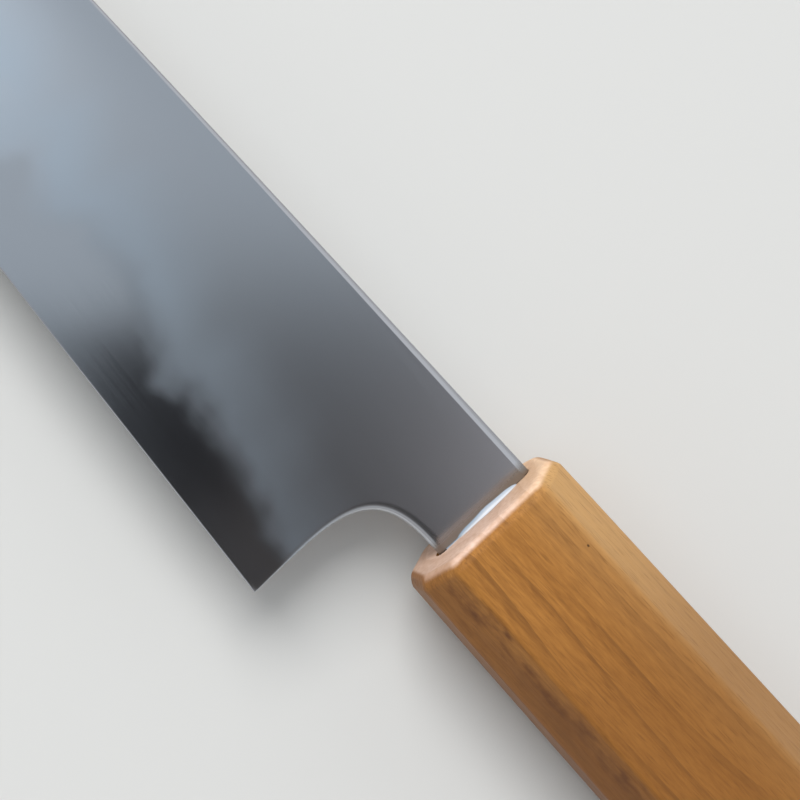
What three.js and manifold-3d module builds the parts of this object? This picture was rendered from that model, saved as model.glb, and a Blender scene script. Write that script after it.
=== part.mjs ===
// Petty knife with an octagonal wooden handle, in millimetres.
// The knife lies on its right side: X runs from the tip to the butt, Y from the cutting edge to the spine,
// and Z points up, out of the blade's left face. Pieces are drawn from the middle of the handle's front end.

import * as THREE from 'three';
import { mergeVertices } from 'three/addons/utils/BufferGeometryUtils.js';
import Module from 'manifold-3d';

// Blade outline
const bladeLength = 150; // heel to tip
const heelAhead = 10.6; // heel, ahead of the handle's front
const heelHeight = 30.3; // spine to cutting edge at the heel
const spineHeight = 7.27; // spine above the handle's axis, at the handle's front
const spineSlope = 0.83; // degrees that the spine falls towards the tip
const spineStraight = 125; // stretch of the spine before it drops to the tip
const tipDrop = 3.4; // tip below the line of the straight spine
const edgeSlope = 4.2; // degrees that the edge rises from the heel
const edgeStraight = 75; // stretch of the edge before its belly
const bellyLength = 45; // stretch of the edge that curves up to the tip
const tipSlope = 22; // degrees of the edge at the tip

// Blade section
const neckThickness = 2.4; // spine's thickness at the handle
const distalTaper = 0.6; // 1 thins evenly to the tip, less keeps the blade thick for longer
const grindPower = 1.6; // 1 is a flat wedge, more is a fuller face
const spineRound = 0.7; // rounding of the spine's edges, as a share of half its thickness
const behindEdge = 0.16; // thickness above the sharpened bevel, at the handle
const edgeBevel = 0.3; // height of the sharpened bevel

// Choil, the hollow between the heel and the neck
const neckBelow = 5.87; // neck's underside below the handle's axis
const heelStraight = 6.2; // straight stretch of the heel's back
const choilRise = 8.4; // pull of the curve up from the heel's back
const choilRun = 7.1; // pull of the curve along the neck's underside
const choilEnd = 1.5; // end of the curve, ahead of the handle
const choilFlat = 1; // flat left between the choil's eased edges

// Tang, the hidden end of the blade
const neckDepth = 7; // how far the full neck goes into the handle
const tangLength = 85; // tang's end, behind the handle's front
const tangHeight = 8.4;
const tangEndHeight = 4.6;
const tangThickness = 1.7;
const tangRoot = 1; // overlap of the tang with the neck

// Handle
const handleLength = 118;
const frontHeight = 20;
const frontWidth = 16.7;
const frontBevelHeight = 3.55;
const frontBevelWidth = 5;
const buttHeight = 23.1;
const buttWidth = 19.2;
const buttBevelHeight = 4.1;
const buttBevelWidth = 5.75;
const edgeRound = 0.9; // rounding of the long edges
const frontRound = 0.95; // rounding of the front end
const buttRound = 1.4; // rounding of the butt end

// Slot and bore for the neck and tang
const slotSide = 0.5; // from the neck's spine to the slot's wall, on each side
const slotEnds = 0.5; // beyond the neck's spine and underside
const slotDeeper = 0.5; // beyond the neck's shoulders
const boreWall = 0.5; // from the tang's corners to the bore
const boreDeeper = 4; // beyond the tang's end
const drillPoint = 118; // degrees of the bore's pointed end

// Fillers
const fillGap = 0.1; // film between a filler and what it holds
const sealDepth = 4; // seals' reach into the slot
const sealAbove = 5; // seals' upper end above the handle's axis
const sealBelow = 4.6; // seals' lower end below the handle's axis
const beadHeight = 0.55; // bead's stand-off from the handle's front
const beadCrest = 0.2; // bead's width where it meets the neck
const beadLap = 0.35; // bead's lap over the slot's rim
const beadRim = 0.08; // bead's thickness at its outer end

// Steps of the curved surfaces
const bladeStations = 44;
const stationCrowding = 1.5; // 1 spaces them evenly, more brings them closer towards the tip
const faceSteps = 8;
const roundSteps = 3;
const boreSides = 32;
const curveSteps = 14;

const wasm = await Module();
wasm.setup();

const slopeOf = (degrees) => Math.tan(THREE.MathUtils.degToRad(degrees));

// Turns a closed geometry into a solid for cutting and joining.
function solidOf(geometry) {
  const bare = geometry.clone();
  bare.deleteAttribute('normal');
  bare.deleteAttribute('uv');
  const merged = mergeVertices(bare, 1e-5);
  const corners = merged.index.array;
  const triangles = [];
  for (let first = 0; first < corners.length; first += 3) {
    const triangle = corners.slice(first, first + 3);
    if (new Set(triangle).size === 3) {
      triangles.push(...triangle);
    }
  }
  return new wasm.Manifold(
    new wasm.Mesh({
      numProp: 3,
      vertProperties: new Float32Array(merged.attributes.position.array),
      triVerts: new Uint32Array(triangles),
    }),
  );
}

// Turns a solid back into a geometry.
function geometryOf(solid) {
  const mesh = solid.getMesh();
  const geometry = new THREE.BufferGeometry();
  geometry.setAttribute('position', new THREE.BufferAttribute(mesh.vertProperties, 3));
  geometry.setIndex(new THREE.BufferAttribute(mesh.triVerts, 1));
  const faceted = geometry.toNonIndexed();
  faceted.computeVertexNormals();
  return faceted;
}

// Skins a row of rings that have equally many points and turn anticlockwise when seen from the last ring,
// and closes both ends. A last ring of one point ends the skin in a sharp tip.
function loft(rings) {
  const points = rings.flat();
  const count = rings[0].length;
  const triangles = [];
  rings.slice(1).forEach((ring, step) => {
    const near = step * count;
    const far = near + count;
    for (let side = 0; side < count; side++) {
      const next = (side + 1) % count;
      if (ring.length === 1) {
        triangles.push(near + side, near + next, far);
      } else {
        triangles.push(near + side, near + next, far + next, near + side, far + next, far + side);
      }
    }
  });
  const last = points.length - count;
  for (let side = 1; side < count - 1; side++) {
    triangles.push(0, side + 1, side);
    if (rings.at(-1).length === count) {
      triangles.push(last, last + side, last + side + 1);
    }
  }
  const geometry = new THREE.BufferGeometry().setFromPoints(points);
  geometry.setIndex(triangles);
  return geometry;
}

// Blade: lines of the spine and the edge, and the curves that bend them to the tip
const spineLine = (x) => spineHeight + slopeOf(spineSlope) * x;
const heel = new THREE.Vector2(-heelAhead, spineLine(-heelAhead) - heelHeight);
const edgeLine = (x) => heel.y - slopeOf(edgeSlope) * (x - heel.x);
const tipReach = heelAhead + bladeLength;
const tip = new THREE.Vector2(-tipReach, spineLine(-tipReach) - tipDrop);

const spineCurve = new THREE.CubicBezierCurve(
  new THREE.Vector2(neckDepth, spineLine(neckDepth)),
  new THREE.Vector2(-spineStraight / 2, spineLine(-spineStraight / 2)),
  new THREE.Vector2(-spineStraight, spineLine(-spineStraight)),
  tip,
);
const edgeCurve = new THREE.CubicBezierCurve(
  heel,
  new THREE.Vector2(heel.x - edgeStraight, edgeLine(heel.x - edgeStraight)),
  new THREE.Vector2(tip.x + bellyLength, tip.y - slopeOf(tipSlope) * bellyLength),
  tip,
);

// Height of a curve that runs towards the tip, where it passes x.
function heightAt(curve, x) {
  let before = 0;
  let after = 1;
  for (let halving = 0; halving < 40; halving++) {
    const middle = (before + after) / 2;
    if (curve.getPoint(middle).x > x) {
      before = middle;
    } else {
      after = middle;
    }
  }
  return curve.getPoint(before).y;
}

// Blade: one section of the ground body, grown sideways by a clearance where asked. Behind the heel the
// edge's line runs on, until the choil is cut.
function bladeRing(x, grow) {
  const spine = heightAt(spineCurve, x);
  const edge = x > heel.x ? edgeLine(x) : heightAt(edgeCurve, x);
  const height = spine - edge;
  const thinning = Math.min(1, 1 + x / tipReach) ** distalTaper;
  const halfAt = (y) => {
    const fullness = 1 - ((spine - y) / height) ** grindPower;
    return (THREE.MathUtils.lerp(behindEdge, neckThickness, fullness) * thinning) / 2 + grow;
  };
  const round = (spineRound * neckThickness * thinning) / 2;
  const shoulder = spine - round;
  const bevelTop = edge + Math.min(edgeBevel, height / 4);
  const left = [];
  for (let step = 0; step <= roundSteps; step++) {
    const angle = (Math.PI / 2) * (step / roundSteps);
    left.push([shoulder + round * Math.cos(angle), halfAt(shoulder) - round * (1 - Math.sin(angle))]);
  }
  for (let step = 1; step <= faceSteps; step++) {
    const y = THREE.MathUtils.lerp(shoulder, bevelTop, step / faceSteps);
    left.push([y, halfAt(y)]);
  }
  const right = left.map(([y, z]) => [y, -z]).reverse();
  return [...left, [edge, 0], ...right].map(([y, z]) => new THREE.Vector3(x, y, z)).reverse();
}

// Blade: ground body from the neck's shoulders to the tip
function groundBody(grow) {
  const rings = [bladeRing(neckDepth, grow)];
  for (let station = 0; station < bladeStations; station++) {
    const left = (1 - station / bladeStations) ** stationCrowding;
    rings.push(bladeRing(tip.x * (1 - left), grow));
  }
  rings.push([new THREE.Vector3(tip.x, tip.y, 0)]);
  return solidOf(loft(rings));
}

// Blade: what is cut away behind the heel and under the neck, flaring at both faces to ease the edges
function choilCutter() {
  const beyond = neckThickness;
  const below = heel.y - beyond;
  const behind = neckDepth + beyond;
  const curveStart = heel.y + heelStraight;
  const curveEnd = -choilEnd;
  const outline = new THREE.Shape();
  outline.moveTo(heel.x, below);
  outline.lineTo(heel.x, curveStart);
  outline.bezierCurveTo(
    heel.x, curveStart + choilRise,
    curveEnd - choilRun, -neckBelow,
    curveEnd, -neckBelow,
  );
  outline.lineTo(behind, -neckBelow);
  outline.lineTo(behind, below);

  const straight = new THREE.ExtrudeGeometry(outline, {
    depth: 2 * beyond,
    bevelEnabled: false,
    curveSegments: curveSteps,
  });
  straight.translate(0, 0, -beyond);
  const flare = new THREE.ExtrudeGeometry(outline, {
    depth: beyond,
    bevelThickness: beyond,
    bevelSize: beyond,
    bevelSegments: 1,
    curveSegments: curveSteps,
  });
  flare.translate(0, 0, choilFlat / 2 + beyond);
  const leftFlare = solidOf(flare);
  return solidOf(straight).add(leftFlare).add(leftFlare.mirror([0, 0, 1]));
}

// Blade: tang, a flat tapering bar, grown all round by a clearance where asked
function tangBar(grow) {
  const root = neckDepth - tangRoot;
  const end = tangLength + grow;
  const outline = new THREE.Shape();
  outline.moveTo(root, -tangHeight / 2 - grow);
  outline.lineTo(end, -tangEndHeight / 2 - grow);
  outline.lineTo(end, tangEndHeight / 2 + grow);
  outline.lineTo(root, tangHeight / 2 + grow);
  const bar = new THREE.ExtrudeGeometry(outline, { depth: tangThickness + 2 * grow, bevelEnabled: false });
  bar.translate(0, 0, -tangThickness / 2 - grow);
  return solidOf(bar);
}

function makeBlade() {
  return groundBody(0).subtract(choilCutter()).add(tangBar(0));
}

// Handle: one octagonal ring with rounded corners, drawn in by an inset
function octagonRing(x, height, width, bevelHeight, bevelWidth, inset) {
  const slant = Math.hypot(bevelHeight, bevelWidth);
  const top = height / 2 - inset;
  const side = width / 2 - inset;
  const bevel = (height / 2) * bevelWidth + (width / 2 - bevelWidth) * bevelHeight - inset * slant;
  const topCorner = new THREE.Vector2(top, (bevel - top * bevelWidth) / bevelHeight);
  const sideCorner = new THREE.Vector2((bevel - side * bevelHeight) / bevelWidth, side);
  const upper = [topCorner, sideCorner];
  const lower = [sideCorner, topCorner].map((corner) => new THREE.Vector2(-corner.x, corner.y));
  const leftSide = [...upper, ...lower];
  const rightSide = leftSide.map((corner) => new THREE.Vector2(corner.x, -corner.y)).reverse();
  const corners = [...leftSide, ...rightSide];

  const ring = [];
  corners.forEach((corner, index) => {
    const before = corners.at(index - 1).clone().sub(corner).normalize();
    const after = corners[(index + 1) % corners.length].clone().sub(corner).normalize();
    const halfAngle = Math.acos(before.dot(after)) / 2;
    const inward = before.clone().add(after).normalize();
    const centre = corner.clone().addScaledVector(inward, edgeRound / Math.sin(halfAngle));
    const start = corner.clone().addScaledVector(before, edgeRound / Math.tan(halfAngle));
    for (let step = 0; step <= roundSteps; step++) {
      const turn = (Math.PI - 2 * halfAngle) * (step / roundSteps);
      const point = start.clone().rotateAround(centre, turn);
      ring.push(new THREE.Vector3(x, point.x, point.y));
    }
  });
  return ring;
}

// Handle: tapering body with rounded ends
function handleBody() {
  const taperEnd = handleLength - buttRound;
  const ringAt = (x, inset) => {
    const along = THREE.MathUtils.clamp((x - frontRound) / (taperEnd - frontRound), 0, 1);
    const between = (front, butt) => THREE.MathUtils.lerp(front, butt, along);
    return octagonRing(
      x,
      between(frontHeight, buttHeight),
      between(frontWidth, buttWidth),
      between(frontBevelHeight, buttBevelHeight),
      between(frontBevelWidth, buttBevelWidth),
      inset,
    );
  };
  const front = [];
  const butt = [];
  for (let step = 0; step <= roundSteps; step++) {
    const angle = (Math.PI / 2) * (step / roundSteps);
    const setBack = 1 - Math.sin(angle);
    const inset = 1 - Math.cos(angle);
    front.unshift(ringAt(frontRound * setBack, frontRound * inset));
    butt.push(ringAt(handleLength - buttRound * setBack, buttRound * inset));
  }
  return solidOf(loft([...front, ...butt]));
}

// Handle: slot for the neck, open at the front and round at both ends
const slotHalf = neckThickness / 2 + slotSide;

function slotCutter() {
  const depth = neckDepth + slotDeeper;
  const beyond = frontRound;
  const outline = new THREE.Shape();
  outline.absarc(0, spineLine(depth) + slotEnds - slotHalf, slotHalf, 0, Math.PI, false);
  outline.absarc(0, -neckBelow - slotEnds + slotHalf, slotHalf, Math.PI, 2 * Math.PI, false);
  const slot = new THREE.ExtrudeGeometry(outline, {
    depth: depth + beyond,
    bevelEnabled: false,
    curveSegments: curveSteps,
  });
  slot.rotateY(Math.PI / 2);
  slot.translate(-beyond, 0, 0);
  return solidOf(slot);
}

// Handle: drilled bore for the tang, drawn in by a clearance where asked
function boreDrill(inset) {
  const radius = Math.hypot(tangHeight, tangThickness) / 2 + boreWall - inset;
  const start = neckDepth + inset;
  const end = tangLength + boreDeeper - inset;
  const profile = [
    new THREE.Vector2(0, start),
    new THREE.Vector2(radius, start),
    new THREE.Vector2(radius, end),
    new THREE.Vector2(0, end + radius / slopeOf(drillPoint / 2)),
  ];
  const drill = new THREE.LatheGeometry(profile, boreSides);
  drill.rotateZ(-Math.PI / 2);
  return solidOf(drill);
}

function makeHandle() {
  return handleBody().subtract(slotCutter()).subtract(boreDrill(0));
}

// Bedding: hard filler round the tang, from the neck's shoulders to the bore's end
function makeBedding() {
  return boreDrill(fillGap).subtract(tangBar(fillGap));
}

// Seal: resin between the neck's left face and the slot's wall, with a hollow bead on the handle's front
function makeSeal() {
  const crest = neckThickness / 2 + beadCrest;
  const wall = slotHalf - fillGap;
  const rim = slotHalf + beadLap;
  const profile = new THREE.Shape();
  profile.moveTo(-beadHeight, 0);
  profile.lineTo(-beadHeight, crest);
  profile.quadraticCurveTo(-fillGap - beadRim, crest, -fillGap - beadRim, rim);
  profile.lineTo(-fillGap, rim);
  profile.lineTo(-fillGap, wall);
  profile.lineTo(sealDepth, wall);
  profile.lineTo(sealDepth, 0);
  const bar = new THREE.ExtrudeGeometry(profile, {
    depth: sealAbove + sealBelow,
    bevelEnabled: false,
    curveSegments: curveSteps / 2,
  });
  bar.rotateX(Math.PI / 2);
  bar.translate(0, sealAbove, 0);
  return solidOf(bar).subtract(groundBody(fillGap));
}

// The knife, with the middle of its outer box over the origin and its lowest face on Z = 0
const knife = new THREE.Group();
knife.position.set((tipReach - handleLength) / 2, -(buttHeight / 2 + heel.y) / 2, buttWidth / 2);

function addPiece(name, solid, look) {
  const piece = new THREE.Mesh(geometryOf(solid), new THREE.MeshStandardMaterial(look));
  piece.name = name;
  knife.add(piece);
}

const resin = { color: 0xdfe6ea, roughness: 0.12, metalness: 0 };
const leftSeal = makeSeal();

addPiece('blade', makeBlade(), { color: 0xa3abb2, roughness: 0.3, metalness: 1 });
addPiece('handle', makeHandle(), { color: 0xb07e4c, roughness: 0.55, metalness: 0 });
addPiece('tang_bedding', makeBedding(), { color: 0xb9ab8c, roughness: 0.7, metalness: 0 });
addPiece('seal_left', leftSeal, resin);
addPiece('seal_right', leftSeal.mirror([0, 0, 1]), resin);

export default knife;
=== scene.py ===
import math

import bmesh
import bpy
import numpy as np
from mathutils import Matrix, Vector


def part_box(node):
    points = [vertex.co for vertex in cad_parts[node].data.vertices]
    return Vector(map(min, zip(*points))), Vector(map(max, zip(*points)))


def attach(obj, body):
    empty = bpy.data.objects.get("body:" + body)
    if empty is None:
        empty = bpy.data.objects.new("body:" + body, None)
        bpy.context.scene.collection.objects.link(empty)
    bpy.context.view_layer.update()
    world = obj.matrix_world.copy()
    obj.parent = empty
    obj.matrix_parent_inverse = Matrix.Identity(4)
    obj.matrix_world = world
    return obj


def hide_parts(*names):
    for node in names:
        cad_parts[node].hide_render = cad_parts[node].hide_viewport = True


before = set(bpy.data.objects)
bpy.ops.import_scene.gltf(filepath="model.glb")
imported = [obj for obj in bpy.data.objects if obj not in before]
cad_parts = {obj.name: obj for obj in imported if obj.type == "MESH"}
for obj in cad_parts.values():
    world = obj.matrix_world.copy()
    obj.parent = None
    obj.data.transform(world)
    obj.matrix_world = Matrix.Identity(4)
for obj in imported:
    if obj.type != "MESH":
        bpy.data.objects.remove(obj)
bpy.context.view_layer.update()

# Blade
# One steel forging: blade, neck and hidden tang together. Both faces are ground full near the spine and
# thin at the edge, the spine and the choil behind the heel are rounded by hand, and the tang is bedded in
# the handle.
mm = 0.001
blade_low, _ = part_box("blade")
handle_low, handle_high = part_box("handle")
front_centre = (handle_low + handle_high) / 2
front_centre.x = handle_low.x

# Sizes from the middle of the handle's front end: x towards the butt, y towards the spine
tip_x = blade_low.x - front_centre.x
heel_x = -10.6 * mm
heel_y = blade_low.y - front_centre.y
spine_height = 7.27 * mm  # above the handle's axis, at the handle's front
spine_slope = math.tan(math.radians(0.83))
spine_straight = 125 * mm
tip_drop = 3.4 * mm
edge_slope = math.tan(math.radians(4.2))
edge_straight = 75 * mm
belly_length = 45 * mm
tip_slope = math.tan(math.radians(22))
neck_below = 5.87 * mm  # neck's underside below the handle's axis
neck_depth = 7 * mm  # how far the full neck goes into the handle
heel_straight = 6.2 * mm
choil_rise = 8.4 * mm
choil_run = 7.1 * mm
choil_end = 1.5 * mm
tang_length = 85 * mm
tang_height = 8.4 * mm
tang_end_height = 4.6 * mm
tang_thickness = 1.7 * mm

# Section of the blade
neck_thickness = 2.4 * mm
behind_edge = 0.16 * mm
distal_taper = 0.6  # 1 thins evenly to the tip, less keeps the blade thick for longer
grind_power = 1.6  # 1 is a flat wedge, more is a fuller face
edge_bevel = 0.12 * mm
bevel_limit = 0.25  # the sharpened bevel's largest share of the blade's height, near the tip
spine_chamfer = 0.88 * mm  # eased edges of the spine at the handle, fading towards the tip
chamfer_fade = 3
chamfer_tilt = math.radians(36)
chamfer_bulge = math.radians(5)  # half of the angle that the eased edges turn through
choil_round = 0.85  # rounding of the choil, as a share of half the thickness there

# Lines of the mesh: ribs from the underside to the spine, leaning forward above the heel
neck_ribs = 9
choil_ribs = 36
heel_ribs = 14
edge_ribs = 240
face_steps = 26
round_steps = 6
curve_points = 2000  # on the smooth curves that heights are read from
fan_x = -24 * mm  # where the heel's own rib meets the spine
fan_reach = 60 * mm  # stretch of the edge whose ribs lean
rib_lean = 0.4
rib_rise = 0.25
face_start, face_end = 0.2, 0.6  # the roundings stay below and above these shares of a rib
sharp_angle = math.radians(24)  # edges that turn by more than this aren't smoothed
weld_distance = 0.0002 * mm
tiny = 0.001 * mm  # least height and pace, where the blade runs out in its tip


def bezier(corners, steps):
    """Points of a Bezier curve between its corners, at steps from 0 to 1."""
    points = [np.asarray(corner, float) for corner in corners]
    while len(points) > 1:
        points = [start + (end - start) * steps for start, end in zip(points, points[1:])]
    return points[0]


def steps_between(count):
    return np.linspace(0, 1, count)[:, None]


def spine_line(x):
    return spine_height + spine_slope * x


def edge_line(x):
    return heel_y - edge_slope * (x - heel_x)


tip = (tip_x, spine_line(tip_x) - tip_drop)
spine_corners = [
    (neck_depth, spine_line(neck_depth)),
    (-spine_straight / 2, spine_line(-spine_straight / 2)),
    (-spine_straight, spine_line(-spine_straight)),
    tip,
]
edge_corners = [
    (heel_x, heel_y),
    (heel_x - edge_straight, edge_line(heel_x - edge_straight)),
    (tip_x + belly_length, tip[1] - tip_slope * belly_length),
    tip,
]
smooth_steps = steps_between(curve_points)
spine_points = bezier(spine_corners, smooth_steps)[::-1]
edge_points = bezier(edge_corners, smooth_steps)[::-1]


def spine_at(x):
    return np.interp(x, spine_points[:, 0], spine_points[:, 1])


def edge_at(x):
    return np.where(x > heel_x, edge_line(x), np.interp(x, edge_points[:, 0], edge_points[:, 1]))


def thinning_at(x):
    return np.clip(1 - x / tip_x, 0, 1) ** distal_taper


def half_thickness(x, y):
    """Half of the ground body's thickness, before its edges are rounded."""
    height = np.maximum(spine_at(x) - edge_at(x), tiny)
    below_spine = np.clip((spine_at(x) - y) / height, 0, 1)
    full = behind_edge + (neck_thickness - behind_edge) * (1 - below_spine**grind_power)
    return full * thinning_at(x) / 2


def skin(name, rings):
    """A closed mesh over a row of rings with equally many points. The first and last ring are closed straight
    across, from each point to the one that mirrors it."""
    count = len(rings[0])
    mesh = bmesh.new()
    rows = [[mesh.verts.new(Vector(point) + front_centre) for point in ring] for ring in rings]
    for row, following in zip(rows, rows[1:]):
        for side in range(count):
            after = (side + 1) % count
            mesh.faces.new((row[side], row[after], following[after], following[side]))
    for row in (rows[0], rows[-1]):
        for side in range(count // 2 - 1):
            mesh.faces.new((row[side], row[side + 1], row[-side - 2], row[-side - 1]))
    bmesh.ops.remove_doubles(mesh, verts=mesh.verts, dist=weld_distance)
    bmesh.ops.dissolve_degenerate(mesh, edges=mesh.edges, dist=weld_distance)
    bmesh.ops.recalc_face_normals(mesh, faces=mesh.faces)
    data = bpy.data.meshes.new(name)
    mesh.to_mesh(data)
    mesh.free()
    data.shade_smooth()
    data.set_sharp_from_angle(angle=sharp_angle)
    piece = bpy.data.objects.new(name, data)
    bpy.context.scene.collection.objects.link(piece)
    return piece


# Underside from the neck to the tip, where the ribs start
neck_line = bezier([(neck_depth, -neck_below), (-choil_end, -neck_below)], steps_between(neck_ribs))
choil_curve = bezier(
    [
        (-choil_end, -neck_below),
        (-choil_end - choil_run, -neck_below),
        (heel_x, heel_y + heel_straight + choil_rise),
        (heel_x, heel_y + heel_straight),
    ],
    steps_between(choil_ribs),
)
heel_line = bezier([(heel_x, heel_y + heel_straight), (heel_x, heel_y)], steps_between(heel_ribs))
edge_curve = bezier(edge_corners, steps_between(edge_ribs))
underside = np.concatenate([neck_line[:-1], choil_curve[:-1], heel_line[:-1], edge_curve])
behind_heel = len(underside) - edge_ribs
cutting = np.arange(len(underside)) >= behind_heel

# Spine points where the ribs end
walked = np.cumsum(np.hypot(*np.diff(underside, axis=0, prepend=underside[:1]).T))
choil_share = (walked - walked[neck_ribs - 1]) / (walked[behind_heel] - walked[neck_ribs - 1])
lean_share = np.clip(1 - (heel_x - underside[:, 0]) / fan_reach, 0, 1) ** 2
rib_ends = np.where(
    cutting,
    underside[:, 0] + (fan_x - heel_x) * lean_share,
    np.minimum(underside[:, 0], -choil_end + (fan_x + choil_end) * np.clip(choil_share, 0, 1)),
)
rib_ends[: neck_ribs - 1] = underside[: neck_ribs - 1, 0]
spine_side = np.column_stack([rib_ends, spine_at(rib_ends)])
bends = np.column_stack(
    [
        spine_side[:, 0] + (underside[:, 0] - spine_side[:, 0]) * rib_lean,
        underside[:, 1] + (spine_side[:, 1] - underside[:, 1]) * rib_rise,
    ]
)

# Steps along each rib: over the rounded or sharpened underside, up the face, over the eased spine
headings = np.gradient(underside, axis=0)
inward = np.column_stack([headings[:, 1], -headings[:, 0]])
inward /= np.linalg.norm(inward, axis=1)[:, None]
leaving = bends - underside
start_pace = 2 * np.maximum((leaving * inward).sum(axis=1), tiny)
end_pace = 2 * np.maximum(spine_side[:, 1] - bends[:, 1], tiny)

choil_turn = np.linspace(0, math.pi / 2, round_steps)
bevel_share = np.linspace(0, 1, round_steps)
underside_half = half_thickness(*underside.T)
rounding = choil_round * underside_half
bevel = np.minimum(edge_bevel, (spine_side[:, 1] - underside[:, 1]) * bevel_limit)
chamfer = spine_chamfer * thinning_at(rib_ends) ** chamfer_fade
eased = np.linspace(chamfer_tilt - chamfer_bulge, chamfer_tilt + chamfer_bulge, round_steps)
rise = (np.sin(eased) - np.sin(eased[0])) / np.ptp(np.sin(eased))
sink = (np.cos(eased[0]) - np.cos(eased)) / np.ptp(np.sin(eased))

from_underside = np.where(
    cutting[:, None],
    bevel[:, None] * bevel_share,
    rounding[:, None] * (1 - np.cos(choil_turn)),
)
from_spine = chamfer[:, None] * (1 - rise)
first_steps = np.clip(from_underside / start_pace[:, None], 0, face_start)
last_steps = np.clip(1 - from_spine / end_pace[:, None], face_end, 1)
between = np.linspace(0, 1, face_steps + 2)[1:-1]
face = first_steps[:, -1:] + (last_steps[:, :1] - first_steps[:, -1:]) * between
rib_steps = np.concatenate([first_steps, face, last_steps], axis=1)
ribs = bezier([underside[:, None], bends[:, None], spine_side[:, None]], rib_steps[:, :, None])

halves = half_thickness(ribs[:, :, 0], ribs[:, :, 1])
halves[:, :round_steps] *= np.where(cutting[:, None], bevel_share, 1)
halves[:, :round_steps] -= np.where(cutting[:, None], 0, rounding[:, None] * (1 - np.sin(choil_turn)))
halves[:, -round_steps:] -= chamfer[:, None] * sink
halves = np.maximum(halves, 0)

left_side = np.concatenate([ribs, halves[:, :, None]], axis=2)
right_side = left_side[:, ::-1] * (1, 1, -1)
blade_rings = np.concatenate([left_side, right_side], axis=1)


def tang_ring(x, height):
    """The neck's section, drawn in to the tang's height and thickness."""
    neck = blade_rings[0]
    middle = (spine_at(neck_depth) - neck_below) / 2
    tall = height / (spine_at(neck_depth) + neck_below)
    thin = tang_thickness / neck_thickness
    return np.column_stack([np.full(len(neck), x), (neck[:, 1] - middle) * tall, neck[:, 2] * thin])


tang = [tang_ring(tang_length, tang_end_height), tang_ring(neck_depth, tang_height)]
blade = skin("blade_forged", [*tang, *blade_rings])

# Height of each point above the cutting edge and above the temper line, for the finish of the steel.
# The line is given in millimetres, by its place along the blade and its height above the edge.
temper_line = [
    (-170, 0), (-150, 2.6), (-138, 4.6), (-125, 6.8), (-115, 6.6), (-105, 8.8), (-95, 8), (-85, 10),
    (-77, 8.6), (-70, 10.4), (-64, 8.1), (-60.7, 10.9), (-54.7, 8), (-51.4, 10.7), (-47.4, 10.9), (-40, 10),
    (-35, 6.6), (-31, 8.5), (-25, 7.3), (-20, 7.7), (-15.5, 5.3), (-10.6, 5),
]
line_x, line_height = np.array(temper_line).T * mm
soft_line_x, soft_line_width = -60 * mm, 4.2 * mm  # the line blurs out towards the tip
crisp_line_x, crisp_line_width = -12 * mm, 2 * mm
places = np.array([point.co - front_centre for point in blade.data.vertices])
above_edge = places[:, 1] - edge_at(places[:, 0])
above_line = above_edge - np.interp(places[:, 0], line_x, line_height)
softness = np.interp(places[:, 0], (soft_line_x, crisp_line_x), (soft_line_width, crisp_line_width))
for name, heights in (
    ("above_edge", above_edge),
    ("above_temper_line", above_line),
    ("across_temper_line", above_line / softness),
):
    blade.data.attributes.new(name, "FLOAT", "POINT").data.foreach_set("value", heights)


def linear(hex_colour):
    """An sRGB hex colour as linear red, green, blue and alpha."""
    shares = [int(hex_colour[start : start + 2], 16) / 255 for start in (1, 3, 5)]
    return *[s / 12.92 if s <= 0.04045 else ((s + 0.055) / 1.055) ** 2.4 for s in shares], 1


def add_node(tree, kind, inputs=None, **settings):
    """Adds a node with its settings. An input takes a value, or an output of another node as its link."""
    node = tree.nodes.new("ShaderNode" + kind)
    for name, value in settings.items():
        setattr(node, name, value)
    for name, value in (inputs or {}).items():
        socket = next(s for s in node.inputs if s.identifier == name)
        if isinstance(value, bpy.types.NodeSocket):
            tree.links.new(value, socket)
        else:
            socket.default_value = value
    return {socket.identifier: socket for socket in node.outputs}


def new_material(name):
    """An empty material and its node tree."""
    material = bpy.data.materials.new(name)
    material.use_nodes = True
    material.node_tree.nodes.clear()
    return material, material.node_tree


# Carbon steel, hardened along the edge and polished on stones: bright where the hardened edge took the
# polish, misty above the temper line, scuffed beside the handle, with fine stone marks along the edge. Beside
# the handle its colour is painted darker and warmer, as a painted reflection of the wood.
steel_colour = linear("#BFC1C6")
mist_colour = linear("#C5CDD6")
painted_wood_reflection_tint = linear("#948F8A")  # painted reflection: darker, warmer steel beside the handle, standing in for its dim reflection of the wood
polished_roughness = 0.086
hazy_roughness = 0.155
misty_roughness = 0.22
scuffed_roughness = 0.3
mark_roughness = 0.006  # how far the stone marks change the roughness
cloud_size = 6 * mm
cloud_low, cloud_high = 0.25, 0.75  # noise values that take the line down and up
cloud_depth = 0.5  # how far the line wanders, as a share of its softness
mist_width = 11.5 * mm
bank_size = 13 * mm
thin_mist = 0.7  # share of the mist that is left between its banks
worn_height = 3.5 * mm  # how far up from the edge the polish is a little worn
worn_haze = 0.2
scuff_start, scuff_full = -1.9 * mm, -0.5 * mm
stone_mark_length = 40 * mm
stone_mark_width = 0.2 * mm  # drawn coarser than the real marks, so that they show
stone_mark_depth = 0.0001 * mm
noise_low, noise_high = 0.3, 0.7  # most of a noise pattern lies between these

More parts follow.
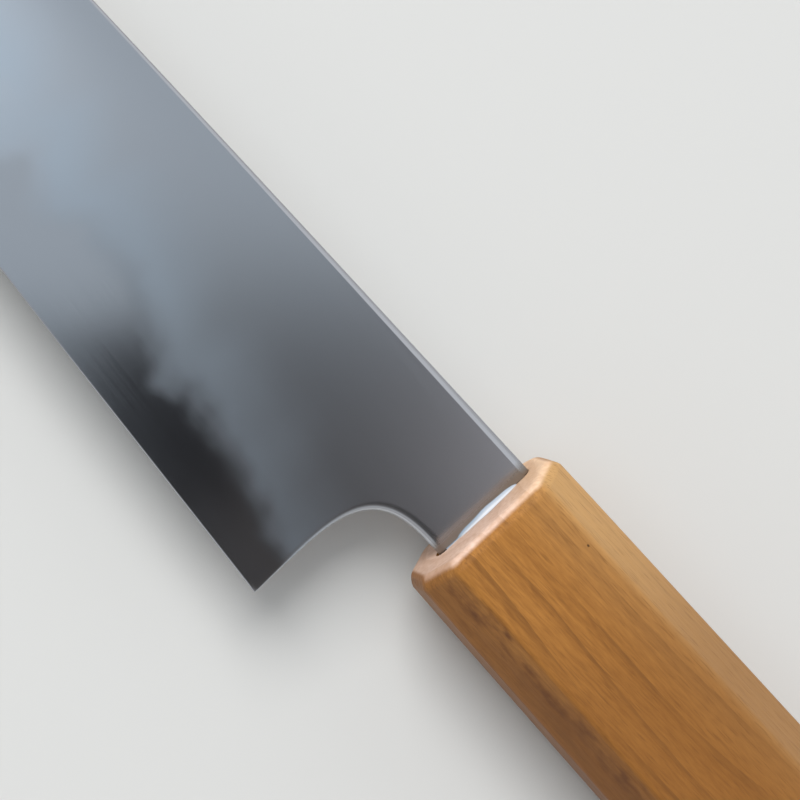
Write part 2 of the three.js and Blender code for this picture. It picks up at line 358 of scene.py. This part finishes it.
polished_steel, tree = new_material("stone_polished_carbon_steel")
steel_place = add_node(tree, "TexCoord")["Object"]
over_edge = add_node(tree, "Attribute", attribute_name="above_edge")["Fac"]
over_line = add_node(tree, "Attribute", attribute_name="above_temper_line")["Fac"]
across_line = add_node(tree, "Attribute", attribute_name="across_temper_line")["Fac"]
clouds = add_node(tree, "TexNoise", {"Vector": steel_place, "Scale": 1 / cloud_size, "Detail": 3.0})["Fac"]
shift = add_node(
    tree, "MapRange",
    {
        "Value": clouds,
        "From Min": cloud_low, "From Max": cloud_high, "To Min": -cloud_depth, "To Max": cloud_depth,
    },
    clamp=False,
)["Result"]
ragged = add_node(tree, "Math", {"Value": across_line, "Value_001": shift}, operation="ADD")["Value"]
line_haze = add_node(
    tree, "MapRange", {"Value": ragged, "From Min": -1.0, "From Max": 1.0}, interpolation_type="SMOOTHSTEP"
)["Result"]
wear = add_node(
    tree, "MapRange",
    {"Value": over_edge, "From Min": 0.0, "From Max": worn_height, "To Min": worn_haze, "To Max": 0.0},
)["Result"]
patchy_wear = add_node(tree, "Math", {"Value": wear, "Value_001": clouds}, operation="MULTIPLY")["Value"]
haze = add_node(tree, "Math", {"Value": line_haze, "Value_001": patchy_wear}, operation="MAXIMUM")["Value"]
fading = add_node(
    tree, "MapRange",
    {"Value": over_line, "From Min": 0.0, "From Max": mist_width, "To Min": 1.0, "To Max": 0.0},
    interpolation_type="SMOOTHSTEP",
)["Result"]
bank_noise = add_node(tree, "TexNoise", {"Vector": steel_place, "Scale": 1 / bank_size, "Detail": 2.0})["Fac"]
banks = add_node(
    tree, "MapRange",
    {
        "Value": bank_noise,
        "From Min": noise_low, "From Max": noise_high, "To Min": thin_mist, "To Max": 1.0,
    },
    interpolation_type="SMOOTHSTEP",
)["Result"]
mist = haze
for share in (fading, banks):
    mist = add_node(tree, "Math", {"Value": mist, "Value_001": share}, operation="MULTIPLY")["Value"]
# Beside the handle: a rougher scuff, and a colour painted darker and warmer as a painted reflection of the
# wood
scuff_and_painted_reflection = add_node(
    tree, "MapRange",
    {
        "Value": add_node(tree, "SeparateXYZ", {"Vector": steel_place})["X"],
        "From Min": front_centre.x + scuff_start, "From Max": front_centre.x + scuff_full,
    },
    interpolation_type="SMOOTHSTEP",
)["Result"]
along_edge = add_node(
    tree, "Mapping",
    {
        "Vector": steel_place,
        "Rotation": (0, 0, -math.atan(edge_slope)),
        "Scale": (stone_mark_length, stone_mark_width, stone_mark_width),
    },
    vector_type="TEXTURE",
)["Vector"]
marks = add_node(tree, "TexNoise", {"Vector": along_edge, "Scale": 1.0, "Detail": 3.0})["Fac"]
mark_change = add_node(
    tree, "MapRange",
    {
        "Value": marks,
        "From Min": noise_low, "From Max": noise_high, "To Min": -mark_roughness, "To Max": mark_roughness,
    },
)["Result"]
dullness = polished_roughness
for mask, rougher in ((haze, hazy_roughness), (mist, misty_roughness), (scuff_and_painted_reflection, scuffed_roughness)):
    dullness = add_node(
        tree, "Mix", {"Factor_Float": mask, "A_Float": dullness, "B_Float": rougher}
    )["Result_Float"]
steel_roughness = add_node(
    tree, "Math", {"Value": dullness, "Value_001": mark_change}, operation="ADD"
)["Value"]
blade_colour = steel_colour
# The colour beside the handle is a painted reflection of the wood
for mask, tint in ((mist, mist_colour), (scuff_and_painted_reflection, painted_wood_reflection_tint)):
    blade_colour = add_node(
        tree, "Mix", {"Factor_Float": mask, "A_Color": blade_colour, "B_Color": tint}, data_type="RGBA"
    )["Result_Color"]
relief = add_node(tree, "Bump", {"Strength": 1.0, "Distance": stone_mark_depth, "Height": marks})
steel = add_node(
    tree, "BsdfPrincipled",
    {
        "Base Color": blade_colour,
        "Metallic": 1.0,
        "Roughness": steel_roughness,
        "Normal": relief["Normal"],
    },
)
add_node(tree, "OutputMaterial", {"Surface": steel["BSDF"]})
blade.data.materials.append(polished_steel)
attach(blade, "root")
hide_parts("blade")

# Handle
# One piece of cherry-like hardwood, planed to a tapering octagon, its edges and ends eased by sanding, then
# oiled. A slot in its front takes the neck, and a drilled bore behind the slot takes the tang.
handle_length = handle_high.x - handle_low.x
front_height, front_width = 20 * mm, 16.7 * mm
front_bevel_height, front_bevel_width = 3.55 * mm, 5 * mm
butt_height = handle_high.y - handle_low.y
butt_width = handle_high.z - handle_low.z
butt_bevel_height, butt_bevel_width = 4.1 * mm, 5.75 * mm
edge_round = 0.9 * mm
front_edge_round = 1.7 * mm  # the same edges, where they run into the front
front_round = 1.35 * mm
front_start = math.radians(30)  # where the front's rounding stops short of the facets, with a crease
crease_width = 0.2 * mm
butt_round = 1.4 * mm

# Slot and bore, with the gaps between them and the steel
side_gap, top_gap, bottom_gap, end_gap = 0.08 * mm, 0.06 * mm, 0.3 * mm, 0.5 * mm
slot_half = neck_thickness / 2 + side_gap
slot_top = spine_at(0) + top_gap
slot_bottom = -neck_below - bottom_gap
slot_depth = neck_depth + end_gap
slot_ease = 0.1 * mm
slot_widening = 0.6 * mm  # stretch over which the slot opens into the bore
bore_radius = 4.79 * mm
bore_past_tang = 4 * mm
bore_end = tang_length + bore_past_tang
drill_half_angle = math.radians(59)
bore_point = bore_radius / math.tan(drill_half_angle)
bore_tip_radius = 0.02 * mm

# Steps of the mesh, and its rings across the flat ends as shares of the way out
corner_steps = 6
facet_steps = 6
end_steps = 7
ease_steps = 4
body_steps = 24
front_face_shares = (0.33, 0.67)
butt_face_shares = (0.7, 0.4)


def octagon(x, taper, inset, corner_round=edge_round):
    """A ring of the handle: an inset octagon with rounded corners and points along its facets."""
    height = front_height + (butt_height - front_height) * taper
    width = front_width + (butt_width - front_width) * taper
    bevel_height = front_bevel_height + (butt_bevel_height - front_bevel_height) * taper
    bevel_width = front_bevel_width + (butt_bevel_width - front_bevel_width) * taper
    top = height / 2 - inset
    side = width / 2 - inset
    slant = height / 2 * bevel_width + (width / 2 - bevel_width) * bevel_height
    slant -= inset * math.hypot(bevel_height, bevel_width)
    top_corner = Vector((top, (slant - top * bevel_width) / bevel_height))
    side_corner = Vector(((slant - side * bevel_height) / bevel_width, side))
    upper = [top_corner, side_corner]
    left = upper + [Vector((-corner.x, corner.y)) for corner in reversed(upper)]
    corners = left + [Vector((corner.x, -corner.y)) for corner in reversed(left)]

    arcs = []
    for corner, before, after in zip(corners, corners[-1:] + corners, corners[1:] + corners[:1]):
        back = (before - corner).normalized()
        ahead = (after - corner).normalized()
        half_angle = back.angle(ahead) / 2
        centre = corner + (back + ahead).normalized() * corner_round / math.sin(half_angle)
        start = corner + back * corner_round / math.tan(half_angle) - centre
        turns = [(math.pi - 2 * half_angle) * step / corner_steps for step in range(corner_steps + 1)]
        arcs.append([centre + Matrix.Rotation(turned, 2) @ start for turned in turns])

    ring = []
    for arc, following in zip(arcs, arcs[1:] + arcs[:1]):
        ring += arc
        ring += [arc[-1].lerp(following[0], step / facet_steps) for step in range(1, facet_steps)]
    half = len(ring) - facet_steps // 2
    ring = ring[half:] + ring[:half]
    return [(x, point.x, point.y) for point in ring]


def onto_slot(ring, x, grow):
    """A ring's points, moved straight in to the outline of the slot."""
    moved = []
    for _, y, z in ring:
        centre_y = min(max(y, slot_bottom + slot_half), slot_top - slot_half)
        reach = math.hypot(y - centre_y, z)
        share = (slot_half + grow) / reach
        moved.append((x, centre_y + (y - centre_y) * share, z * share))
    return moved


def onto_bore(ring, x, radius):
    """A ring's points, moved straight in to a circle round the handle's axis."""
    return [(x, y * radius / math.hypot(y, z), z * radius / math.hypot(y, z)) for _, y, z in ring]


front_ring = octagon(0, 0, front_round, front_edge_round)
slot_ring = onto_slot(front_ring, 0, 0)
inside = [
    onto_bore(slot_ring, bore_end + bore_point, bore_tip_radius),
    onto_bore(slot_ring, bore_end, bore_radius),
    onto_bore(slot_ring, slot_depth, bore_radius),
    onto_slot(front_ring, slot_depth - slot_widening, 0),
]
ease_turns = [math.pi / 2 * step / ease_steps for step in range(ease_steps + 1)]
slot_rim = [
    onto_slot(front_ring, slot_ease * (1 - math.sin(turned)), slot_ease * (1 - math.cos(turned)))
    for turned in ease_turns
]
front_face = [
    [tuple(Vector(rim).lerp(Vector(edge), share)) for rim, edge in zip(slot_rim[-1], front_ring)]
    for share in front_face_shares
]
front_turns = [math.pi / 2 + (front_start - math.pi / 2) * step / end_steps for step in range(end_steps + 1)]
front_end = [
    octagon(
        front_round * (1 - math.sin(turned)) / (1 - math.sin(front_start)),
        0,
        front_round * (1 - math.cos(turned) / math.cos(front_start)),
        front_edge_round,
    )
    for turned in front_turns
]
front_end.append(octagon(front_round + crease_width, 0, 0, front_edge_round))
body = [
    octagon(
        front_round + (handle_length - front_round - butt_round) * step / body_steps, step / body_steps, 0
    )
    for step in range(1, body_steps)
]
butt_turns = [math.pi / 2 * step / end_steps for step in range(end_steps + 1)]
butt_end = [
    octagon(handle_length - butt_round * (1 - math.sin(turned)), 1, butt_round * (1 - math.cos(turned)))
    for turned in butt_turns
]
butt_face = [[(x, y * share, z * share) for x, y, z in butt_end[-1]] for share in butt_face_shares]
handle = skin("handle_planed", [*inside, *slot_rim, *front_face, *front_end, *body, *butt_end, *butt_face])

# Oiled cherry, planed and fine-sanded: honey tan with soft, uneven growth lines, pores and short flecks along
# the handle, and a blotchy heartwood streak low down. Painted light makes it paler towards the top and on the
# upper bevel, and painted shade darkens the low side and the wood towards the butt. The end grain is paler
# and pinker, the paler part partly a painted sheen, with growth rings and speckles; it is painted paler
# towards the top and is browner round its rim, with painted shade on the edge's side.
wood_light = linear("#B27938")
wood_dark = linear("#784A1E")
# painted light: the paler colour of the top and the upper bevel
painted_top_light = linear("#D4AB72")
# heartwood colour of the streak, also used as painted shade on the low side
heartwood_and_shade = linear("#683D18")
growth_line = linear("#6E4620")
knot_colour = linear("#3E2410")
# pale pink end grain; part of its paleness is a painted sheen
end_grain_and_sheen = linear("#F3D5C4")
# painted light: the paler colour towards the top of the end
painted_end_top_light = linear("#F2CA98")
end_dark = linear("#C99B77")
# browner rim of the end grain, also painted shade on the edge's side
end_rim_and_shade = linear("#96653B")
grain_slope = math.radians(1)
ring_spacing = 3.4 * mm
ring_sway = 2  # how far the rings wander, in turns of their pattern
wave_length = 2 * math.pi / 20  # of the wave texture, at a scale of 1
pith = Vector((0, -90, 18)) * mm
heart_height = -7.9 * mm
heart_wander = 0.8 * mm
heart_width = 1.3 * mm
knot_centre = Vector((8.65, 5.7, 8.4)) * mm
knot_length, knot_width = 0.22 * mm, 0.15 * mm
pore_start, pore_full, pore_strength = 0.57, 0.72, 0.4
speckle_size = 0.6 * mm
fibre_depth = 0.015 * mm
smooth_fibres, rough_fibres = 0.42, 0.55  # roughness

oiled_cherry, tree = new_material("oiled_cherry_sanded")
wood_place = add_node(
    tree, "Mapping",
    {"Vector": add_node(tree, "TexCoord")["Object"], "Location": front_centre},
    vector_type="TEXTURE",
)["Vector"]
wood_axes = add_node(tree, "SeparateXYZ", {"Vector": wood_place})


def along_grain(length, width, detail):
    """Noise drawn out along the grain."""
    drawn_out = add_node(
        tree, "Mapping",
        {"Vector": wood_place, "Rotation": (0, 0, grain_slope), "Scale": (length, width, width)},
        vector_type="TEXTURE",
    )
    return add_node(tree, "TexNoise", {"Vector": drawn_out["Vector"], "Scale": 1.0, "Detail": detail})["Fac"]


def spread(noise, low, high):
    """Noise taken from its usual range to a range of its own."""
    return add_node(
        tree, "MapRange",
        {"Value": noise, "From Min": noise_low, "From Max": noise_high, "To Min": low, "To Max": high},
    )["Result"]


# Fibres, flecks and pores are drawn coarser than the real ones, so that they show
fibres = along_grain(length=22 * mm, width=0.5 * mm, detail=4.0)
flecks = along_grain(length=1.8 * mm, width=0.22 * mm, detail=2.0)
pore_noise = along_grain(length=2.4 * mm, width=0.16 * mm, detail=1.0)
mottle = along_grain(length=12 * mm, width=4.5 * mm, detail=3.0)
sway = along_grain(length=90 * mm, width=16 * mm, detail=1.0)
line_patches = along_grain(length=16 * mm, width=2 * mm, detail=3.0)
streak_wander = along_grain(length=5 * mm, width=2 * mm, detail=3.0)
blotches = along_grain(length=2.2 * mm, width=1 * mm, detail=4.0)
speckle = add_node(tree, "TexNoise", {"Vector": wood_place, "Scale": 1 / speckle_size, "Detail": 4.0})["Fac"]

# Growth rings round the pith, and distances from the heartwood streak and the knot
round_pith = add_node(
    tree, "Mapping",
    {"Vector": wood_place, "Location": pith, "Rotation": (0, 0, grain_slope)},
    vector_type="TEXTURE",
)
rings = add_node(
    tree, "TexWave",
    {
        "Vector": round_pith["Vector"],
        "Scale": wave_length / ring_spacing,
        "Distortion": 0.0,
        "Phase Offset": spread(sway, -ring_sway * math.pi, ring_sway * math.pi),
    },
    wave_type="RINGS", rings_direction="X", wave_profile="SAW",
)["Fac"]
streak_shift = spread(streak_wander, -heart_height - heart_wander, -heart_height + heart_wander)
above_streak = add_node(
    tree, "Math", {"Value": wood_axes["Y"], "Value_001": streak_shift}, operation="ADD"
)["Value"]
from_streak = add_node(tree, "Math", {"Value": above_streak}, operation="ABSOLUTE")["Value"]
knot_place = add_node(
    tree, "Mapping",
    {"Vector": wood_place, "Location": knot_centre, "Scale": (knot_length, knot_width, knot_width)},
    vector_type="TEXTURE",
)
from_knot = add_node(tree, "VectorMath", {"Vector": knot_place["Vector"]}, operation="LENGTH")["Value"]
facing = add_node(tree, "SeparateXYZ", {"Vector": add_node(tree, "NewGeometry")["Normal"]})
endwise = add_node(tree, "Math", {"Value": facing["X"]}, operation="ABSOLUTE")["Value"]
sideways = add_node(tree, "Math", {"Value": facing["Z"]}, operation="ABSOLUTE")["Value"]

# Masks that change smoothly along a value, between its start and where they are full. Painted shade darkens
# the oiled wood towards the butt, where the light falls off, and the growth lines fade towards the top.
masks = {}
for name, value, start, full, at_start, at_full in (
    ("late_wood", rings, 0.3, 0.95, -0.05, 0.08),
    ("ring_ends", rings, 0.76, 0.97, 0.0, 1.0),
    ("end_rings", rings, 0.4, 0.97, 0.0, 0.28),
    ("line_fading", wood_axes["Y"], 2.5 * mm, 7 * mm, 1.0, 0.15),
    # painted shade: darker towards the butt, where the light falls off
    ("painted_falloff_to_butt", wood_axes["X"], 0.0, 32 * mm, 0.0, 0.56),
    # painted light: paler towards the top, on the upper bevel and towards the top of the end
    ("painted_light_upwards", wood_axes["Y"], 0.0, 8 * mm, 0.0, 0.22),
    ("painted_light_upper_bevel", wood_axes["Y"], 5.7 * mm, 7.3 * mm, 0.0, 0.46),
    ("painted_light_end_top", wood_axes["Y"], 0.0, 8 * mm, 0.0, 0.58),
    # painted shade: darker towards the low side and the lower bevel
    ("painted_shade_low", wood_axes["Y"], -6.8 * mm, -9.2 * mm, 0.0, 0.4),
    ("streak", from_streak, heart_width, 0.0, 0.0, 1.0),
    ("knot", from_knot, 1.1, 0.5, 0.0, 0.85),
    ("end", endwise, 0.53, 0.8, 0.0, 0.88),
):
    masks[name] = add_node(
        tree, "MapRange",
        {"Value": value, "From Min": start, "From Max": full, "To Min": at_start, "To Max": at_full},
        interpolation_type="SMOOTHSTEP",
    )["Result"]

tone = masks["late_wood"]
for pattern, low, high in ((fibres, 0.21, 0.49), (flecks, -0.2, 0.2), (mottle, -0.06, 0.08)):
    tone = add_node(
        tree, "Math", {"Value": tone, "Value_001": spread(pattern, low, high)}, operation="ADD"
    )["Value"]
lines = masks["ring_ends"]
for share in (spread(line_patches, -0.1, 0.8), masks["line_fading"]):
    lines = add_node(
        tree, "Math", {"Value": lines, "Value_001": share}, operation="MULTIPLY", use_clamp=True
    )["Value"]
pores = add_node(
    tree, "MapRange",
    {
        "Value": pore_noise,
        "From Min": pore_start, "From Max": pore_full, "To Min": 0.0, "To Max": pore_strength,
    },
)["Result"]
streak = add_node(
    tree, "Math",
    {"Value": masks["streak"], "Value_001": spread(blotches, -0.3, 1.1)},
    operation="MULTIPLY", use_clamp=True,
)["Value"]

# The end grain is browner round its rim on the spine's side, and darker and browner as painted shade where it
# faces the edge's side
rim_and_shade_masks = []
for side, start, full in ((1, 0.25, 0.7), (-1, -0.1, 0.38)):
    outward = add_node(tree, "Math", {"Value": facing["Y"], "Value_001": side}, operation="MULTIPLY")["Value"]
    steep = add_node(tree, "Math", {"Value": outward, "Value_001": sideways}, operation="SUBTRACT")["Value"]
    rim_and_shade_masks.append(add_node(tree, "MapRange", {"Value": steep, "From Min": start, "From Max": full})["Result"])
# the end grain's colour, partly painted sheen
end_colour = end_grain_and_sheen
for mask, tint in (
    # painted light towards the top of the end
    (masks["painted_light_end_top"], painted_end_top_light),
    (masks["end_rings"], end_dark),
    (spread(speckle, 0, 0.5), end_dark),
    (rim_and_shade_masks[0], end_rim_and_shade),
    # painted shade: darker where the end faces the edge's side
    (rim_and_shade_masks[1], end_rim_and_shade),
):
    end_colour = add_node(
        tree, "Mix", {"Factor_Float": mask, "A_Color": end_colour, "B_Color": tint}, data_type="RGBA"
    )["Result_Color"]
wood_colour = wood_light
for mask, tint in (
    (tone, wood_dark),
    # painted light on the top and the upper bevel
    (masks["painted_light_upwards"], painted_top_light),
    (masks["painted_light_upper_bevel"], painted_top_light),
    # painted shade towards the butt
    (masks["painted_falloff_to_butt"], wood_dark),
    (lines, growth_line),
    (pores, growth_line),
    # painted shade on the low side
    (masks["painted_shade_low"], heartwood_and_shade),
    (streak, heartwood_and_shade),
    (masks["knot"], knot_colour),
    (masks["end"], end_colour),
):
    wood_colour = add_node(
        tree, "Mix", {"Factor_Float": mask, "A_Color": wood_colour, "B_Color": tint}, data_type="RGBA"
    )["Result_Color"]
relief = add_node(tree, "Bump", {"Strength": 0.5, "Distance": fibre_depth, "Height": fibres})
wood = add_node(
    tree, "BsdfPrincipled",
    {
        "Base Color": wood_colour,
        "Roughness": spread(fibres, smooth_fibres, rough_fibres),
        "IOR": 1.5,
        "Specular IOR Level": 0.3,
        "Normal": relief["Normal"],
    },
)
add_node(tree, "OutputMaterial", {"Surface": wood["BSDF"]})
handle.data.materials.append(oiled_cherry)
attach(handle, "root")
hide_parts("handle")

# Seals
# Clear resin run into the slot on both sides of the neck, to keep water out. It sets with a hollow, glossy
# bead between the steel and the handle's front, which ends above the neck's underside.
seal_above = 5.2 * mm
seal_below = 5 * mm
seal_depth = 4 * mm
seal_film = 0.03 * mm
bead_above = 5.2 * mm
bead_below = 3.3 * mm
bead_height = 0.47 * mm
bead_lap = 0.95 * mm
bead_rim = 0.03 * mm
crest_width = 0.08 * mm
hollow_width = 0.16 * mm
hollow_height = 0.12  # as a share of the bead's height
swell_power = 0.45  # 1 is an even arch, less keeps the bead full towards its ends
least_swell = 0.01
ripple_depth = 0.12
ripple_length, ripple_change = 0.7 * mm, 1.9 * mm
seal_rows = 48
bead_steps = 8


def seal_ring(y, side):
    """The seal's section at a height y: resin in the slot, and the hollow bead that it ends in."""
    middle = (bead_above - bead_below) / 2
    from_middle = (y - middle) / ((bead_above + bead_below) / 2)
    swell = max(1 - from_middle**2, least_swell) ** swell_power
    ripple = 1 + ripple_depth * math.sin(y / ripple_length) * math.cos(y / ripple_change)
    tall = bead_height * swell * ripple
    steel_face = float(half_thickness(0, y)) + seal_film
    wall = slot_half - seal_film
    rim = slot_half + bead_lap * swell * ripple
    crest = (-tall, steel_face + crest_width)
    hollow = (-hollow_height * tall, steel_face + hollow_width)
    toe = (-bead_rim * swell, rim)
    bead = bezier([crest, hollow, toe], steps_between(bead_steps))
    section = [(seal_depth, steel_face), (-tall, steel_face), *bead.tolist(), (-seal_film, rim)]
    section += [(-seal_film, wall), (seal_depth, wall)]
    return [(x, y, side * z) for x, z in section]


# Clear epoxy that levelled itself before it set: glossy and a little wavy, dark where the steel shows through
# it and near white over the pale wood, where the near white is partly a painted highlight.
resin_on_steel = linear("#8B98A6")
# resin over the wood; its near white is partly a painted highlight
resin_on_wood_and_highlight = linear("#ECEDF2")
wave_size = 1.5 * mm
wave_depth = 0.1 * mm
resin, tree = new_material("clear_epoxy_self_levelled")
resin_place = add_node(
    tree, "Mapping",
    {"Vector": add_node(tree, "TexCoord")["Object"], "Location": front_centre},
    vector_type="TEXTURE",
)["Vector"]
waviness = add_node(tree, "TexNoise", {"Vector": resin_place, "Scale": 1 / wave_size, "Detail": 2.0})
relief = add_node(tree, "Bump", {"Strength": 0.5, "Distance": wave_depth, "Height": waviness["Fac"]})
off_blade = add_node(
    tree, "Math", {"Value": add_node(tree, "SeparateXYZ", {"Vector": resin_place})["Z"]}, operation="ABSOLUTE"
)["Value"]
over_wood = add_node(
    tree, "MapRange",
    {"Value": off_blade, "From Min": neck_thickness / 2, "From Max": neck_thickness / 2 + bead_lap / 2},
)["Result"]
# painted highlight: near white over the wood
resin_tint_and_highlight = add_node(
    tree, "Mix",
    {"Factor_Float": over_wood, "A_Color": resin_on_steel, "B_Color": resin_on_wood_and_highlight},
    data_type="RGBA",
)
epoxy = add_node(
    tree, "BsdfPrincipled",
    {
        "Base Color": resin_tint_and_highlight["Result_Color"],
        "Roughness": 0.2,
        "IOR": 1.55,
        "Normal": relief["Normal"],
    },
)
add_node(tree, "OutputMaterial", {"Surface": epoxy["BSDF"]})
for name, side in (("left", 1), ("right", -1)):
    heights = [seal_above - (seal_above + seal_below) * row / seal_rows for row in range(seal_rows + 1)]
    seal = skin(f"seal_bead_{name}", [seal_ring(y, side) for y in heights])
    seal.data.materials.append(resin)
    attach(seal, "root")
    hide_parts(f"seal_{name}")

# Bedding
# Hard filler round the tang, poured into the bore before the blade goes in. It stays hidden in the handle,
# so it keeps its plain solid. Cast filler is dull and gritty, in two buff tones.
filler_colour = linear("#B9AB8C")
filler_dark = linear("#A08F6D")
grit_size = 0.4 * mm
filler, tree = new_material("hardened_filler_cast")
filler_place = add_node(tree, "TexCoord")["Object"]
grit = add_node(tree, "TexNoise", {"Vector": filler_place, "Scale": 1 / grit_size, "Detail": 3.0})
buff = add_node(
    tree, "Mix",
    {"Factor_Float": grit["Fac"], "A_Color": filler_colour, "B_Color": filler_dark},
    data_type="RGBA",
)
cast = add_node(tree, "BsdfPrincipled", {"Base Color": buff["Result_Color"], "Roughness": 0.75})
add_node(tree, "OutputMaterial", {"Surface": cast["BSDF"]})
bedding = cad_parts["tang_bedding"]
bedding.data.materials.clear()
bedding.data.materials.append(filler)

# Floor
# A plain table top, wide enough to fill the view. Its matt paint is pale and even, without reflections.
# It isn't part of the knife.
floor_colour = linear("#D2D1CE")
floor_half = 3.0
floor_corners = [
    (-floor_half, -floor_half, 0),
    (floor_half, -floor_half, 0),
    (floor_half, floor_half, 0),
    (-floor_half, floor_half, 0),
]
floor_data = bpy.data.meshes.new("floor")
floor_data.from_pydata(floor_corners, [], [(0, 1, 2, 3)])
floor = bpy.data.objects.new("floor", floor_data)
bpy.context.scene.collection.objects.link(floor)
matt_paint, tree = new_material("pale_matt_paint")
paint = add_node(tree, "BsdfPrincipled", {"Base Color": floor_colour, "Roughness": 0.8})
add_node(tree, "OutputMaterial", {"Surface": paint["BSDF"]})
floor_data.materials.append(matt_paint)

# Light
# Soft studio lamps: an overhead strip and two panels that the blade mirrors, a key lamp from the tip's end
# and the spine's side, weaker ones at the spine, the side, the butt and the neck, and a pale room that gets
# darker overhead.


def add_softbox(name, centre, target, width, height, radiance, colour, turn=0, mirrored=True):
    """A rectangular lamp that faces a target. Its power follows from its area and its radiance. A lamp that
    isn't mirrored gives light without showing in reflections."""
    lamp = bpy.data.lights.new(name, "AREA")
    lamp.shape = "RECTANGLE"
    lamp.size = width
    lamp.size_y = height
    lamp.energy = radiance * math.pi * width * height
    lamp.color = linear(colour)[:3]
    softbox = bpy.data.objects.new(name, lamp)
    facing_target = (Vector(centre) - Vector(target)).to_track_quat("Z", "Y").to_matrix().to_4x4()
    softbox.matrix_world = Matrix.Translation(centre) @ facing_target @ Matrix.Rotation(turn, 4, "Z")
    softbox.visible_camera = False
    softbox.visible_glossy = mirrored
    bpy.context.scene.collection.objects.link(softbox)


overhead_height = 1.0
overhead_turn = math.radians(-15)
overhead_edge = Vector((0.1075, 0.005))  # the blade mirrors it as the start of its dark stretch
overhead_colour = "#E6F2FB"
across = Vector((math.cos(overhead_turn), math.sin(overhead_turn)))
along = Vector((-across.y, across.x))
strip_width = 0.09
panel_width = 1.0
for name, inset, width, length, offset, radiance in (
    ("overhead_strip", 0, strip_width, 1.2, 0, 0.66),
    ("overhead_panel", strip_width, panel_width, 0.8, -0.36, 1.3),
    ("overhead_panel_end", strip_width, panel_width, 0.5, 0.29, 0.6),
):
    middle = overhead_edge - across * (inset + width / 2) + along * offset
    centre = (*middle, overhead_height)
    target = (*middle, 0)
    add_softbox(name, centre, target, width, length, radiance, overhead_colour, overhead_turn)
# Most of the key lamp stays out of reflections, where it would turn the polished blade plain white
for name, centre, target, width, height, radiance, colour, mirrored in (
    ("key_softbox", (-2.0, 0.72, 2.42), (0.05, 0, 0), 2.0, 2.0, 0.7, "#FFFFFF", True),
    ("key_fill", (-2.0, 0.72, 2.42), (0.05, 0, 0), 2.0, 2.0, 6.7, "#FFFFFF", False),
    ("spine_softbox", (0.25, 0.46, 1.0), (0.25, 0.46, 0), 0.8, 0.6, 0.62, "#F4F8FF", True),
    ("side_softbox", (0.1, 1.0, 0.5), (0, 0, 0), 1.4, 0.7, 0.3, "#F2F7FF", True),
    ("butt_softbox", (0.565, 0, 1.0), (0.565, 0, 0), 0.8, 1.0, 0.06, "#FFF4EC", True),
    ("neck_softbox", (0.46, 0.3, 0.99), (0.46, 0.3, 0), 0.5, 0.5, 0.43, "#FFF6F6", True),
):
    add_softbox(name, centre, target, width, height, radiance, colour, mirrored=mirrored)

wall_colour = linear("#C4C4C4")
ceiling_colour = linear("#28282A")
ceiling_start, ceiling_full = 0.5, 0.98  # upward part of a direction, 1 straight up
world = bpy.data.worlds.new("studio_room")
bpy.context.scene.world = world
world.use_nodes = True
world.node_tree.nodes.clear()
tree = world.node_tree
direction = add_node(tree, "SeparateXYZ", {"Vector": add_node(tree, "TexCoord")["Generated"]})
upward = add_node(
    tree, "MapRange",
    {"Value": direction["Z"], "From Min": ceiling_start, "From Max": ceiling_full},
    interpolation_type="SMOOTHSTEP",
)
room = add_node(
    tree, "Mix",
    {"Factor_Float": upward["Result"], "A_Color": wall_colour, "B_Color": ceiling_colour},
    data_type="RGBA",
)
glow = add_node(tree, "Background", {"Color": room["Result_Color"], "Strength": 1.0})
add_node(tree, "OutputWorld", {"Surface": glow["Background"]})

# Camera
# It looks down on the blade's left face, tilted a little towards the tip and the edge and turned so that the
# knife runs from the top left to the bottom right. The target and the angles place the knife as photographed.
view_target = front_centre + Vector((-15.06, 2.09, 0)) * mm
view_distance = 527.2 * mm
tilt_to_tip = math.radians(10.32)
tilt_to_edge = math.radians(6.27)
roll = math.radians(46.95)
sensor_width = 36
photo_pixels = 800  # width of the photograph
pixels_per_mm = 9.3966  # at the target
frame_width = photo_pixels / pixels_per_mm * mm

towards = Vector(
    (
        -math.sin(tilt_to_tip) * math.cos(tilt_to_edge),
        -math.sin(tilt_to_edge),
        math.cos(tilt_to_tip) * math.cos(tilt_to_edge),
    )
)
level = (-towards).cross(Vector((0, 1, 0))).normalized()
upright = level.cross(-towards)
right = level * math.cos(roll) + upright * math.sin(roll)
up = upright * math.cos(roll) - level * math.sin(roll)

lens = bpy.data.cameras.new("camera")
lens.sensor_width = sensor_width
lens.lens = sensor_width * view_distance / frame_width
camera = bpy.data.objects.new("camera", lens)
turned = Matrix((right, up, towards)).transposed().to_4x4()
camera.matrix_world = Matrix.Translation(view_target + towards * view_distance) @ turned
bpy.context.scene.collection.objects.link(camera)
bpy.context.scene.camera = camera
bpy.context.scene.view_settings.view_transform = "Standard"
